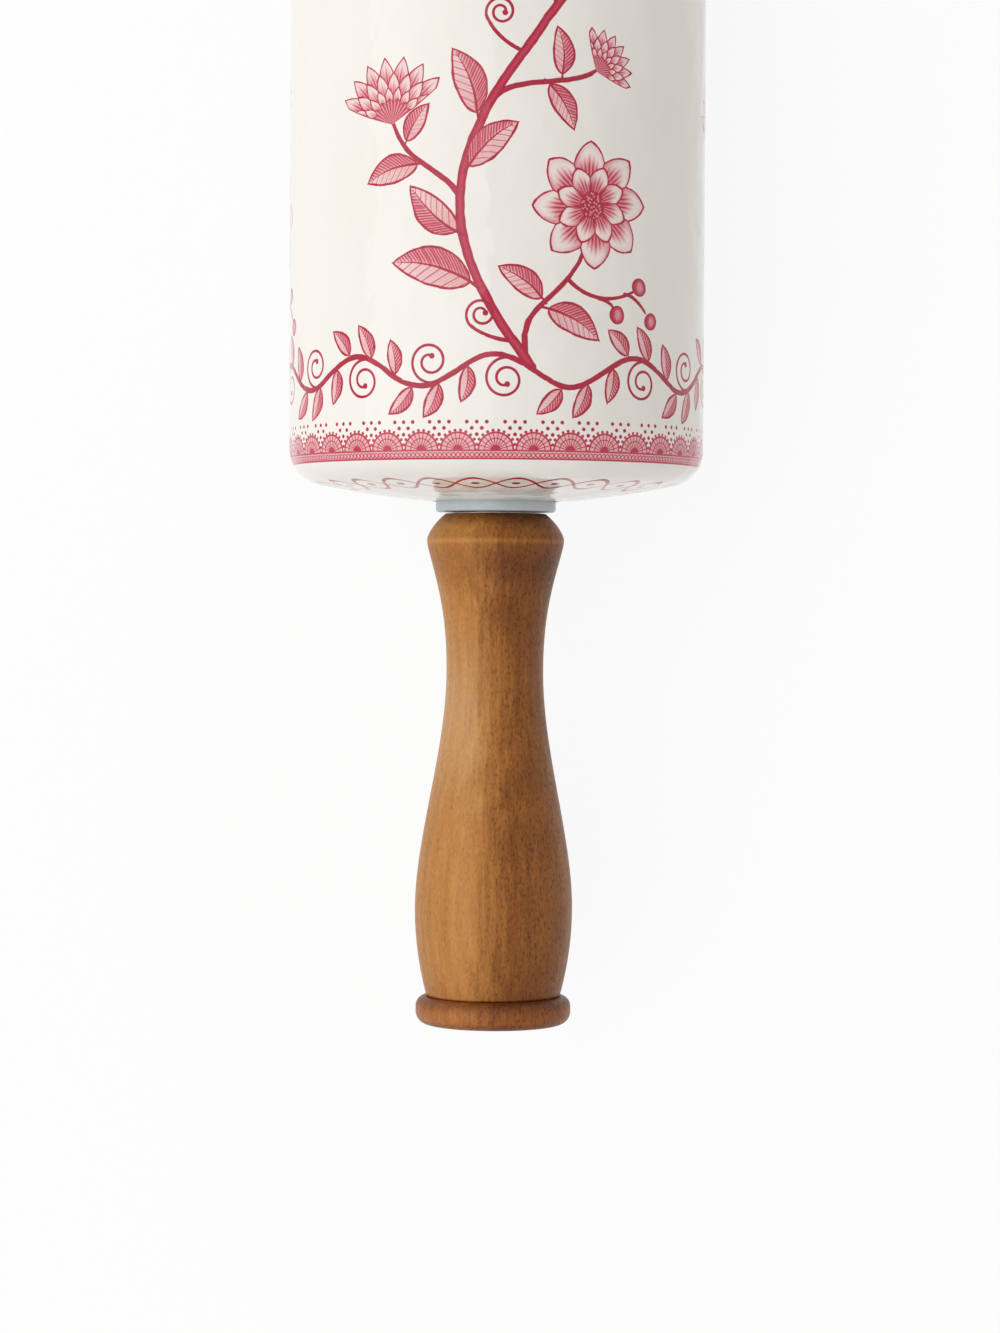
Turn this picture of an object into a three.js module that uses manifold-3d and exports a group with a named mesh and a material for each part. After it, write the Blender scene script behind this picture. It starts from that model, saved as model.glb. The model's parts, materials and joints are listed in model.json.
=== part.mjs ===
// Ceramic rolling pin: a hollow glazed barrel that spins on a steel rod between two turned wooden handles.
// Millimetres, +Z up. The pin lies along X, and the origin is under the middle of the barrel.
import * as THREE from 'three';
import { mergeVertices, toCreasedNormals } from 'three/addons/utils/BufferGeometryUtils.js';
import Module from 'manifold-3d';

const wasm = await Module();
wasm.setup();

// Barrel: slip-cast ceramic of even wall, closed by a crowned end with a sunk seat for the bushing
const barrelDiameter = 70;
const barrelLength = 260; // from seat to seat
const barrelWall = 7;
const crownRadius = 145;
const shoulderRadius = 6;
const cavityCornerRadius = 4;
const seatDepth = 0.55; // of the seat below the rim of the crown
const seatMargin = 0.5; // flat ring left round the bushing flange

// Axle rod: full diameter through the barrel, a threaded stud at each end
const studDiameter = 6;
const rodShoulder = 1.5; // step from the rod down to its stud
const rodInsertion = 22; // length of full rod held in each handle
const rodChamfer = 0.6;
const studReach = 2; // stud that shows past its nut

// Bushings: flanged nylon bearings, held in the barrel by crush ribs
const bushingWall = 2.9;
const spigotLength = 12;
const spigotLead = 1; // chamfer that starts the spigot into its hole
const ribHeight = 0.45;
const ribWidth = 1.6;
const ribLead = 2.5;
const ribCount = 8;
const flangeLip = 1.95; // cover of the flange beyond its hole
const flangeThickness = 2.2;
const flangeEdgeRadius = 0.4;

// Thrust washers: let into the handle, they take the rub of the flange
const thrustWasherWidth = 2.5;
const thrustWasherThickness = 1;
const thrustWasherProud = 0.15;

// Handles: turned wood, given as rises and runs from the inner face outwards
const handleRim = 1.1; // wood left round the thrust washer
const collarRise = 3.25;
const collarLength = 4.7; // domed, from the inner face to its crease
const neckLength = 21.9; // from the collar to the waist
const neckSlope = 0.28; // fall of the neck where it leaves the collar
const waistDiameter = 16.4;
const swellLength = 40.2; // from the waist to the belly
const bellyDiameter = 26.7;
const tailLength = 14.85; // from the belly to the cap
const handleEndDiameter = 22.9;
const handleEndEdge = 0.4;

// How the handle's curves bend, as shares of the rise or run of each curve
const collarBulge = 0.83;
const collarLift = 0.48;
const neckStart = 0.35;
const neckFinish = 0.43;
const swellStart = 0.34;
const swellFinish = 0.3;
const tailStart = 0.5;

// End caps: a turned bead on a spigot that plugs the handle
const capDiameter = 26.3;
const capInnerRound = 1.75;
const capBand = 0.8; // straight part between the two rounds
const capOuterRound = 2.1;
const capSpigotLength = 5;
const capSpigotChamfer = 0.6;

// Lock nuts and their washers
const nutAcrossFlats = 10;
const nutHexHeight = 4.6;
const nutCollarHeight = 1.4;
const nutCollarWidth = 1.3; // wall of the collar that holds the locking ring
const nutChamfer = 0.5;
const nutWasherDiameter = 12;
const nutWasherThickness = 1.6;
const socketRoom = 1.2; // for the spanner, beyond the nut and the washer

// Clearances
const runningClearance = 0.1; // rod in bushing, on the radius
const fitClearance = 0.2; // still pieces in their holes, on the radius
const pressGap = 0.25; // crush ribs in the barrel's hole, on the radius
const seatGap = 0.15; // between faces that are clamped together
const endPlay = 0.15; // of the barrel between the handles, at each end
const capGap = 1; // from the tip of the stud to the cap

// Faces of the turned surfaces
const barrelSides = 60;
const handleSides = 30;
const bearingSides = 32;
const hardwareSides = 24;
const crownSteps = 3;
const cornerSteps = 5;
const roundSteps = 3;
const curveSteps = 7;
const creaseAngle = Math.PI / 6;

// Radii, from the stud outwards
const studRadius = studDiameter / 2;
const rodRadius = studRadius + rodShoulder;
const bushingBoreRadius = rodRadius + runningClearance;
const spigotRadius = bushingBoreRadius + bushingWall;
const ribRadius = spigotRadius + ribHeight;
const endHoleRadius = ribRadius + pressGap;
const flangeRadius = endHoleRadius + flangeLip;
const seatRadius = flangeRadius + seatMargin;
const rodHoleRadius = rodRadius + fitClearance;
const studHoleRadius = studRadius + fitClearance;
const thrustWasherRadius = rodHoleRadius + thrustWasherWidth;
const washerRecessRadius = thrustWasherRadius + fitClearance;
const handleTopRadius = washerRecessRadius + handleRim;
const collarRadius = handleTopRadius + collarRise;
const nutCornerRadius = nutAcrossFlats / Math.sqrt(3);
const nutCollarRadius = studHoleRadius + nutCollarWidth;
const socketRadius = Math.max(nutCornerRadius, nutWasherDiameter / 2) + socketRoom;
const capSpigotRadius = socketRadius - fitClearance;
const capRadius = capDiameter / 2;

// Places along the axis, from the middle of the barrel outwards
const seatAt = barrelLength / 2;
const flangeAt = seatAt + seatGap;
const thrustWasherAt = flangeAt + flangeThickness + endPlay;
const handleAt = thrustWasherAt + thrustWasherProud;
const rodShoulderAt = handleAt + rodInsertion - seatGap;
const waistAt = collarLength + neckLength;
const bellyAt = waistAt + swellLength;
const handleLength = bellyAt + tailLength;
const nutHeight = nutHexHeight + nutCollarHeight;
const nutStack = nutWasherThickness + nutHeight + 2 * seatGap;
const socketDepth = nutStack + studReach + capGap + capSpigotLength;
const nutWasherAt = handleAt + handleLength - socketDepth + seatGap;
const lockNutAt = nutWasherAt + nutWasherThickness + seatGap;
const studEndAt = lockNutAt + nutHeight + studReach;
const capAt = handleAt + handleLength + seatGap;

const glaze = { color: 0xf3f1ed, roughness: 0.12, metalness: 0 };
const nylon = { color: 0xc8d0d3, roughness: 0.45, metalness: 0 };
const stainedWood = { color: 0x93592f, roughness: 0.42, metalness: 0 };
const steel = { color: 0xb4b8bc, roughness: 0.35, metalness: 1 };

const at = (radius, along) => new THREE.Vector2(radius, along);

function arc(radius, along, size, startAngle, endAngle, steps) {
  const clockwise = endAngle < startAngle;
  const curve = new THREE.EllipseCurve(radius, along, size, size, startAngle, endAngle, clockwise);
  return curve.getPoints(steps);
}

// The outline's two ends meet, so that it turns into a ring
function closed(outline) {
  return [...outline, outline[0].clone()];
}

// The same outline at the other end of the pin
function flipped(outline) {
  return outline.map((point) => at(point.x, -point.y));
}

// Turns an outline of radii and places about the X axis, with its faces pointing out
function turned(outline, sides) {
  const points = THREE.ShapeUtils.area(outline) < 0 ? outline.toReversed() : outline;
  const geometry = new THREE.LatheGeometry(points, sides, Math.PI / sides);
  return geometry.rotateZ(-Math.PI / 2);
}

function toSolid(geometry) {
  const bare = geometry.clone();
  bare.deleteAttribute('normal');
  bare.deleteAttribute('uv');
  const welded = mergeVertices(bare);
  return new wasm.Manifold(new wasm.Mesh({
    numProp: 3,
    vertProperties: new Float32Array(welded.attributes.position.array),
    triVerts: new Uint32Array(welded.index.array),
  }));
}

function toGeometry(solid) {
  const mesh = solid.getMesh();
  const geometry = new THREE.BufferGeometry();
  geometry.setAttribute('position', new THREE.BufferAttribute(mesh.vertProperties, 3));
  geometry.setIndex(new THREE.BufferAttribute(mesh.triVerts, 1));
  return geometry;
}

function piece(name, geometry, finish, along = 0) {
  const material = new THREE.MeshStandardMaterial(finish);
  const mesh = new THREE.Mesh(toCreasedNormals(geometry, creaseAngle), material);
  mesh.name = name;
  mesh.position.x = along;
  return mesh;
}

// Outline of a spherical crown and the rounded corner that runs it into a straight side
function crownedEnd(rimRadius, sphereRadius, sphereAt, sideRadius, cornerRadius) {
  const cornerX = sideRadius - cornerRadius;
  const cornerAt = sphereAt + Math.sqrt((sphereRadius - cornerRadius) ** 2 - cornerX ** 2);
  const rimAngle = Math.acos(rimRadius / sphereRadius);
  const joinAngle = Math.atan2(cornerAt - sphereAt, cornerX);
  return [
    ...arc(0, sphereAt, sphereRadius, rimAngle, joinAngle, crownSteps),
    ...arc(cornerX, cornerAt, cornerRadius, joinAngle, 0, cornerSteps).slice(1),
  ];
}

function barrelGeometry() {
  const sphereAt = seatAt + seatDepth - Math.sqrt(crownRadius ** 2 - seatRadius ** 2);
  const sideRadius = barrelDiameter / 2;
  const outside = [
    at(endHoleRadius, seatAt),
    at(seatRadius, seatAt),
    ...crownedEnd(seatRadius, crownRadius, sphereAt, sideRadius, shoulderRadius),
  ];
  const inside = crownedEnd(
    endHoleRadius,
    crownRadius - barrelWall,
    sphereAt,
    sideRadius - barrelWall,
    cavityCornerRadius,
  );
  const outline = [...outside, ...flipped(outside).reverse(), ...flipped(inside), ...inside.toReversed()];
  return turned(closed(outline), barrelSides);
}

// One crush rib, with a ramp at its inner end, rooted in the spigot and in the flange
function ribGeometry() {
  const rootRadius = spigotRadius - ribHeight;
  const profile = new THREE.Shape();
  profile.moveTo(flangeThickness / 2, rootRadius);
  profile.lineTo(flangeThickness / 2, ribRadius);
  profile.lineTo(ribLead - spigotLength, ribRadius);
  profile.lineTo(spigotLead - spigotLength, rootRadius);
  const rib = new THREE.ExtrudeGeometry(profile, { depth: ribWidth, bevelEnabled: false });
  return rib.translate(0, 0, -ribWidth / 2);
}

function bushingGeometry() {
  const edge = flangeRadius - flangeEdgeRadius;
  const outline = [
    at(bushingBoreRadius, flangeThickness),
    ...arc(edge, flangeThickness - flangeEdgeRadius, flangeEdgeRadius, Math.PI / 2, 0, roundSteps),
    ...arc(edge, flangeEdgeRadius, flangeEdgeRadius, 0, -Math.PI / 2, roundSteps),
    at(spigotRadius, 0),
    at(spigotRadius, spigotLead - spigotLength),
    at(spigotRadius - spigotLead, -spigotLength),
    at(bushingBoreRadius, -spigotLength),
  ];
  let bushing = toSolid(turned(closed(outline), bearingSides));
  for (let i = 0; i < ribCount; i += 1) {
    bushing = bushing.add(toSolid(ribGeometry().rotateX((i / ribCount) * 2 * Math.PI)));
  }
  return toGeometry(bushing);
}

function rodGeometry() {
  const half = [
    at(0, studEndAt),
    at(studRadius - rodChamfer, studEndAt),
    at(studRadius, studEndAt - rodChamfer),
    at(studRadius, rodShoulderAt),
    at(rodRadius - rodChamfer, rodShoulderAt),
    at(rodRadius, rodShoulderAt - rodChamfer),
  ];
  return turned([...half, ...flipped(half).reverse()], hardwareSides);
}

function washerGeometry(holeRadius, outerRadius, thickness) {
  const outline = [
    at(holeRadius, 0),
    at(outerRadius, 0),
    at(outerRadius, thickness),
    at(holeRadius, thickness),
  ];
  return turned(closed(outline), hardwareSides);
}

// The outside of a handle: a domed collar, a hollow neck, a long swell and a short tail
function handleProfile() {
  const waistRadius = waistDiameter / 2;
  const bellyRadius = bellyDiameter / 2;
  const endRadius = handleEndDiameter / 2;
  const neckPull = neckStart * neckLength;
  const profile = new THREE.Path();
  profile.moveTo(handleTopRadius, 0);
  profile.quadraticCurveTo(
    handleTopRadius + collarBulge * collarRise,
    collarLift * collarLength,
    collarRadius,
    collarLength,
  );
  profile.bezierCurveTo(
    collarRadius - neckSlope * neckPull,
    collarLength + neckPull,
    waistRadius,
    waistAt - neckFinish * neckLength,
    waistRadius,
    waistAt,
  );
  profile.bezierCurveTo(
    waistRadius,
    waistAt + swellStart * swellLength,
    bellyRadius,
    bellyAt - swellFinish * swellLength,
    bellyRadius,
    bellyAt,
  );
  profile.quadraticCurveTo(
    bellyRadius,
    bellyAt + tailStart * tailLength,
    endRadius,
    handleLength - handleEndEdge,
  );
  profile.lineTo(endRadius - handleEndEdge, handleLength);
  return profile.getPoints(curveSteps);
}

function handleGeometry() {
  const recessDepth = thrustWasherThickness - thrustWasherProud + seatGap;
  const socketFloor = handleLength - socketDepth;
  const outline = [
    at(studHoleRadius, rodInsertion),
    at(rodHoleRadius, rodInsertion),
    at(rodHoleRadius, recessDepth),
    at(washerRecessRadius, recessDepth),
    at(washerRecessRadius, 0),
    ...handleProfile(),
    at(socketRadius, handleLength),
    at(socketRadius, socketFloor),
    at(studHoleRadius, socketFloor),
  ];
  return turned(closed(outline), handleSides);
}

function capGeometry() {
  const outerAt = capInnerRound + capBand;
  const outline = [
    at(0, -capSpigotLength),
    at(capSpigotRadius - capSpigotChamfer, -capSpigotLength),
    at(capSpigotRadius, capSpigotChamfer - capSpigotLength),
    at(capSpigotRadius, 0),
    ...arc(capRadius - capInnerRound, capInnerRound, capInnerRound, -Math.PI / 2, 0, roundSteps),
    ...arc(capRadius - capOuterRound, outerAt, capOuterRound, 0, Math.PI / 2, roundSteps),
    at(0, outerAt + capOuterRound),
  ];
  return turned(outline, handleSides);
}

// A hexagon with its corners turned off, and a round collar for the locking ring
function lockNutGeometry() {
  const hexagon = new THREE.Shape();
  for (let i = 0; i < 6; i += 1) {
    const angle = (i / 6) * 2 * Math.PI;
    hexagon.lineTo(nutCornerRadius * Math.cos(angle), nutCornerRadius * Math.sin(angle));
  }
  const prism = new THREE.ExtrudeGeometry(hexagon, { depth: nutHeight, bevelEnabled: false });
  const cornerAt = nutCornerRadius - nutChamfer;
  const outline = [
    at(studHoleRadius, 0),
    at(cornerAt, 0),
    at(nutCornerRadius, nutChamfer),
    at(nutCornerRadius, nutHexHeight - nutChamfer),
    at(cornerAt, nutHexHeight),
    at(nutCollarRadius, nutHexHeight),
    at(nutCollarRadius, nutHeight),
    at(studHoleRadius, nutHeight),
  ];
  const blank = toSolid(turned(closed(outline), hardwareSides));
  return toGeometry(blank.intersect(toSolid(prism.rotateY(Math.PI / 2))));
}

const axle = new THREE.Group();
axle.add(piece('axle_rod', rodGeometry(), steel));

const roller = new THREE.Group();
roller.add(piece('barrel', barrelGeometry(), glaze));

for (const [side, turn] of [['left', Math.PI], ['right', 0]]) {
  const thrustWasher = washerGeometry(rodHoleRadius, thrustWasherRadius, thrustWasherThickness);
  const nutWasher = washerGeometry(studHoleRadius, nutWasherDiameter / 2, nutWasherThickness);
  const stillEnd = new THREE.Group();
  stillEnd.rotation.z = turn;
  stillEnd.add(
    piece(`thrust_washer_${side}`, thrustWasher, steel, thrustWasherAt),
    piece(`handle_${side}`, handleGeometry(), stainedWood, handleAt),
    piece(`nut_washer_${side}`, nutWasher, steel, nutWasherAt),
    piece(`lock_nut_${side}`, lockNutGeometry(), steel, lockNutAt),
    piece(`end_cap_${side}`, capGeometry(), stainedWood, capAt),
  );
  axle.add(stillEnd);

  const turningEnd = new THREE.Group();
  turningEnd.rotation.z = turn;
  turningEnd.add(piece(`bushing_${side}`, bushingGeometry(), nylon, flangeAt));
  roller.add(turningEnd);
}

const rollingPin = new THREE.Group();
rollingPin.position.z = barrelDiameter / 2;
rollingPin.add(roller, axle);

export default rollingPin;
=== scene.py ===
import json
import math

import bpy
import numpy as np
from mathutils import Matrix, Vector, kdtree


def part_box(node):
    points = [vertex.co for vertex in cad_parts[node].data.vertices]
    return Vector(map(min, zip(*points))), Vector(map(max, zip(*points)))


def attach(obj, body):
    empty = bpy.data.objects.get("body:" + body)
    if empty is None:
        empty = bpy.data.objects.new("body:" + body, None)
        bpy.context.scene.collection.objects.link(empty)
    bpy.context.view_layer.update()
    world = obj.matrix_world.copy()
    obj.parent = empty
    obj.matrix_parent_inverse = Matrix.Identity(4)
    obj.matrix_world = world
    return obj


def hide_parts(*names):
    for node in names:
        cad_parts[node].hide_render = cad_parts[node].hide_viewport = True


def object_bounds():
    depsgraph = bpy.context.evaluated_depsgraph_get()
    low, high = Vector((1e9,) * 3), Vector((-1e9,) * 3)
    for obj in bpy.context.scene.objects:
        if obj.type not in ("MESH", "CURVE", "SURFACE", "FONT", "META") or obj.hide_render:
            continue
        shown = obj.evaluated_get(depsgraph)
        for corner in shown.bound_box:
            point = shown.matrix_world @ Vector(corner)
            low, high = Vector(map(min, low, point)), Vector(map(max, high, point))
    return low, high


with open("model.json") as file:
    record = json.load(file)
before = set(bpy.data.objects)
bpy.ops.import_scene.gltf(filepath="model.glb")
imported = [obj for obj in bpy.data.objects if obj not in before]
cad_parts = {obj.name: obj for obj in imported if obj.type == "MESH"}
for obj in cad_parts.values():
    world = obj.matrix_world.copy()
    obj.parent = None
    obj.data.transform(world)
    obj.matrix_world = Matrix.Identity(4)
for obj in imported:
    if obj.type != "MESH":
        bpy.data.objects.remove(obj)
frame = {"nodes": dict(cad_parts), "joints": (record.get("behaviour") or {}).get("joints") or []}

cadLow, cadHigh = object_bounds()
mm = 0.001
axisHeight = frame["joints"][0]["pos_m"][2]  # the pin's axis, above the table
weld = 0.002 * mm  # points nearer than this are merged
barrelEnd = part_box("barrel")[1].x / mm
handleStart = -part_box("handle_left")[1].x / mm
handleEnd = -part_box("handle_left")[0].x / mm
pinEnd = cadHigh.x / mm
print("frame loaded, axis at", round(axisHeight / mm, 2), "mm")


# Profiles are lists of (distance from the barrel's middle, radius), in mm.

def arcRun(centre, radius, fromDeg, toDeg, count):
    turns = np.radians(np.linspace(fromDeg, toDeg, count + 1))
    return [(centre[0] + radius * math.cos(a), centre[1] + radius * math.sin(a)) for a in turns]


def curveRun(points, count):  # a Bezier curve on 3 or 4 control points
    run = []
    for share in np.linspace(0, 1, count + 1):
        level = [np.array(p, float) for p in points]
        while len(level) > 1:
            level = [a + (b - a) * share for a, b in zip(level, level[1:])]
        run.append(tuple(level[0]))
    return run


def turnProfile(name, profile, steps, closed=True, cells=0):
    bpy.ops.object.select_all(action="DESELECT")
    bpy.ops.mesh.primitive_plane_add(size=mm, calc_uvs=False)
    piece = bpy.context.active_object
    piece.name = piece.data.name = name
    bpy.ops.object.mode_set(mode="EDIT")
    bpy.ops.mesh.select_mode(type="VERT")
    bpy.ops.mesh.select_all(action="SELECT")
    bpy.ops.mesh.merge(type="CENTER")  # one vertex, drawn out along the profile
    here = Vector((0, 0, 0))
    for index, (out, radius) in enumerate(profile + profile[:1] if closed else profile):
        there = Vector((out * mm, 0, axisHeight + radius * mm))
        if index == 0:
            bpy.ops.transform.translate(value=there)
        else:
            bpy.ops.mesh.extrude_vertices_move(TRANSFORM_OT_translate={"value": there - here})
        here = there
    if cells:
        divideLongest(piece, cells)
    bpy.ops.mesh.select_all(action="SELECT")
    bpy.ops.mesh.remove_doubles(threshold=weld)
    bpy.ops.mesh.spin(steps=steps, angle=math.tau, center=(0, 0, axisHeight), axis=(1, 0, 0))
    bpy.ops.mesh.select_all(action="SELECT")
    bpy.ops.mesh.remove_doubles(threshold=weld)
    bpy.ops.mesh.normals_make_consistent(inside=False)
    bpy.ops.object.mode_set(mode="OBJECT")
    return piece


def divideLongest(piece, cells):  # cuts the longest outer edge of a profile into even cells
    bpy.ops.mesh.select_all(action="DESELECT")
    bpy.ops.object.mode_set(mode="OBJECT")
    points = [v.co.copy() for v in piece.data.vertices]
    longest = max(
        piece.data.edges,
        key=lambda e: (points[e.vertices[0]] - points[e.vertices[1]]).length
        + points[e.vertices[0]].z,
    )
    longest.select = True
    for index in longest.vertices:
        piece.data.vertices[index].select = True
    bpy.ops.object.mode_set(mode="EDIT")
    bpy.ops.mesh.select_mode(type="EDGE")
    bpy.ops.mesh.subdivide(number_cuts=cells - 1)
    bpy.ops.mesh.select_mode(type="VERT")


def pickOnly(piece):
    bpy.ops.object.select_all(action="DESELECT")
    piece.select_set(True)
    bpy.context.view_layer.objects.active = piece


def smoothShade(piece, angle):
    pickOnly(piece)
    bpy.ops.object.shade_smooth_by_angle(angle=math.radians(angle))


def turnedCopy(piece, name):  # the same piece at the other end of the pin
    pickOnly(piece)
    bpy.ops.object.duplicate()
    copy = bpy.context.active_object
    copy.name = copy.data.name = name
    bpy.ops.object.mode_set(mode="EDIT")
    bpy.ops.mesh.select_all(action="SELECT")
    bpy.ops.transform.rotate(value=math.pi, orient_axis="Z", center_override=(0, 0, axisHeight))
    bpy.ops.object.mode_set(mode="OBJECT")
    return copy


def dress(piece, body, material, node):
    piece.data.materials.clear()
    piece.data.materials.append(material)
    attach(piece, body)
    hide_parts(node)


def dressPair(piece, body, material, node):  # the left piece and its copy on the right
    copy = turnedCopy(piece, piece.name.replace("left", "right"))
    dress(piece, body, material, node + "_left")
    dress(copy, body, material, node + "_right")


# Shader maths as Python expressions.

class Shade:
    def __init__(self, tree, socket=None):
        self.tree = tree
        self.socket = socket

    def make(self, kind, settings=None, inputs=None, output=0):
        node = self.tree.nodes.new("ShaderNode" + kind)
        for name, value in (settings or {}).items():
            if name == "stops":
                fillRamp(node.color_ramp, value)
            else:
                setattr(node, name, value)
        for name, value in (inputs or {}).items():
            if isinstance(value, Shade):
                self.tree.links.new(value.socket, node.inputs[name])
            else:
                node.inputs[name].default_value = value
        return Shade(self.tree, node.outputs[output] if node.outputs else None)

    def out(self, name):  # another output of the same node
        return Shade(self.tree, self.socket.node.outputs[name])

    def math(self, operation, *values, clamp=False):
        settings = {"operation": operation, "use_clamp": clamp}
        return self.make("Math", settings, dict(enumerate(values)))

    def __add__(self, other):
        return self.math("ADD", self, other)

    def __radd__(self, other):
        return self.math("ADD", other, self)

    def __sub__(self, other):
        return self.math("SUBTRACT", self, other)

    def __rsub__(self, other):
        return self.math("SUBTRACT", other, self)

    def __mul__(self, other):
        return self.math("MULTIPLY", self, other)

    def __rmul__(self, other):
        return self.math("MULTIPLY", other, self)

    def __truediv__(self, other):
        return self.math("DIVIDE", self, other)

    def __rtruediv__(self, other):
        return self.math("DIVIDE", other, self)

    def __pow__(self, other):
        return self.math("POWER", self, other)

    def __abs__(self):
        return self.math("ABSOLUTE", self)

    def least(self, other):
        return self.math("MINIMUM", self, other)

    def most(self, other):
        return self.math("MAXIMUM", self, other)

    def clamped(self):
        return self.math("ADD", self, 0.0, clamp=True)

    def sign(self):
        return self.math("SIGN", self)

    def sine(self):
        return self.math("SINE", self)

    def rounded(self):
        return self.math("ROUND", self)

    def fraction(self):
        return self.math("FRACT", self)

    def angle(self, forward):  # from forward towards this value
        return self.math("ARCTAN2", self, forward)

    def span(self, other):  # length of the diagonal
        pair = self.make("CombineXYZ", None, {0: self, 1: other})
        return self.make("VectorMath", {"operation": "LENGTH"}, {0: pair}, "Value")

    def fold(self, size):  # zigzag from 0 up to size and back
        return self.math("PINGPONG", self, size)

    def wrapped(self, half):  # repeats from -half to half
        return self.math("WRAP", self, half, -half)

    def rise(self, low, high):  # smooth step from 0 at low to 1 at high
        return self.make("MapRange", {"interpolation_type": "SMOOTHSTEP"}, {0: self, 1: low, 2: high})

    def inside(self, soft):  # 1 where the value is below 0, with a soft edge
        return self.rise(soft, -soft)

    def stroke(self, half, soft=0.07):  # a pen line where the value is near 0
        return abs(self).rise(half + soft, half - soft)

    def mixed(self, below, above):  # this value is the share of above
        return self.make("Mix", {"data_type": "FLOAT"}, {0: self, 2: below, 3: above})

    def parts(self):
        split = self.make("SeparateXYZ", None, {0: self})
        return split, split.out("Y"), split.out("Z")

    def noise(self, scale, detail=2.0, roughness=0.5, stretch=(1, 1, 1)):
        at = self.make("Mapping", None, {"Vector": self, "Scale": stretch})
        inputs = {"Vector": at, "Scale": scale, "Detail": detail, "Roughness": roughness}
        return self.make("TexNoise", None, inputs)


def fillRamp(ramp, stops):
    while len(ramp.elements) < len(stops):
        ramp.elements.new(1.0)
    for element, (place, colour) in zip(ramp.elements, stops):
        element.position = place
        element.color = (*colour, 1)


def emptyNodes(owner):  # a new material or world, cleared of its first nodes
    owner.use_nodes = True
    owner.node_tree.nodes.clear()
    return Shade(owner.node_tree)


def startMaterial(name):
    material = bpy.data.materials.new(name)
    base = emptyNodes(material)
    place = base.make("TexCoord", None, None, "Object")
    inMm = base.make("VectorMath", {"operation": "SCALE"}, {0: place, "Scale": 1 / mm})
    onAxis = base.make("VectorMath", {"operation": "SUBTRACT"}, {0: inMm, 1: (0, 0, axisHeight / mm)})
    return material, base, onAxis


def endMaterial(base, sockets):
    shader = base.make("BsdfPrincipled", None, sockets)
    base.make("OutputMaterial", None, {"Surface": shader})


# Camera: straight down on the left end, the handle pointing to the foot of the picture.

camera = {"above": 620.0, "x": -147.3, "y": -0.87, "aimX": -158.5, "roll": 0.33, "lens": 93.2}


def placeCamera():
    data = bpy.data.cameras.new("camera")
    data.lens = camera["lens"]
    data.clip_start, data.clip_end = 0.01, 50
    seer = bpy.data.objects.new("camera", data)
    bpy.context.scene.collection.objects.link(seer)
    eye = Vector((camera["x"], camera["y"], camera["above"])) * mm
    aim = Vector((camera["aimX"] * mm, camera["y"] * mm, axisHeight))
    forward = (aim - eye).normalized()
    right = forward.cross(Vector((1, 0, 0))).normalized()
    upward = right.cross(forward)
    turn = Matrix((right, upward, -forward)).transposed()
    roll = Matrix.Rotation(math.radians(camera["roll"]), 3, "Z")
    seer.matrix_world = Matrix.Translation(eye) @ (turn @ roll).to_4x4()
    bpy.context.scene.camera = seer


placeCamera()


# Studio: pale floor, one large soft lamp up on the left of the picture, white surroundings.

studio = {
    "floorSize": 6.0,
    "floorColour": (0.95, 0.95, 0.95, 1),
    "floorWhite": 0.88,  # share of plain white that the camera sees, the rest keeps the shadow
    "ambient": 0.6,
    "ambientColour": (1.0, 0.958, 0.928, 1),
    "lamp": {"turn": 38, "distance": 1.0, "wide": 1.3, "long": 1.7, "power": 7.6, "x": -0.1},
}


def seenDirectly(base):  # 1 for the rays that should see plain white
    path = base.make("LightPath", None, None, "Is Camera Ray")
    return path.most(path.out("Is Glossy Ray")).most(path.out("Is Transmission Ray"))


def makeStudio():
    bpy.ops.object.select_all(action="DESELECT")
    bpy.ops.mesh.primitive_plane_add(size=studio["floorSize"])
    floor = bpy.context.active_object
    floor.name = floor.data.name = "floor"
    paper = bpy.data.materials.new("floorPaper")
    base = emptyNodes(paper)
    matt = base.make("BsdfDiffuse", None, {"Color": studio["floorColour"]})
    white = base.make("Emission", None, {"Color": (1, 1, 1, 1), "Strength": 1.0})
    share = seenDirectly(base) * studio["floorWhite"]
    blend = base.make("MixShader", None, {0: share, 1: matt, 2: white})
    base.make("OutputMaterial", None, {"Surface": blend})
    floor.data.materials.append(paper)

    world = bpy.data.worlds.new("studio")
    sky = emptyNodes(world)
    soft = sky.make("Background", None, {"Color": studio["ambientColour"], "Strength": studio["ambient"]})
    plain = sky.make("Background", None, {"Color": (1, 1, 1, 1), "Strength": 1.0})
    light = sky.make("MixShader", None, {0: seenDirectly(sky), 1: soft, 2: plain})
    sky.make("OutputWorld", None, {"Surface": light})
    bpy.context.scene.world = world

    lamp = studio["lamp"]
    data = bpy.data.lights.new("softbox", "AREA")
    data.shape = "RECTANGLE"
    data.size, data.size_y = lamp["wide"], lamp["long"]
    data.energy = lamp["power"]
    softbox = bpy.data.objects.new("softbox", data)
    bpy.context.scene.collection.objects.link(softbox)
    lean = math.radians(lamp["turn"])
    away = Vector((0, math.sin(lean), math.cos(lean))) * lamp["distance"]
    softbox.location = Vector((lamp["x"], 0, axisHeight)) + away
    softbox.rotation_mode = "QUATERNION"
    softbox.rotation_quaternion = (-away).to_track_quat("-Z", "X")
    softbox.visible_camera = False


makeStudio()
scene = bpy.context.scene
scene.view_settings.view_transform = "Standard"
print("camera and studio set")


# Barrel: hollow glazed shell with crowned ends and a flower print under the glaze.

barrel = {
    "crownRadius": 145.0,
    "shoulderRadius": 6.0,
    "seatRadius": 10.65,
    "seatDepth": 0.55,  # of the bushing's seat below the rim of the crown
    "wall": 7.0,
    "cavityCorner": 4.0,
    "holeRadius": 8.2,
    "outerSteps": (18, 12),  # of the crown and of the shoulder
    "innerSteps": (4, 4),
    "steps": 240,
    "cells": 242,  # along the straight side
    "smoothAngle": 30,
}
barrelRadius = axisHeight / mm
around = math.tau * barrelRadius


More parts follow.
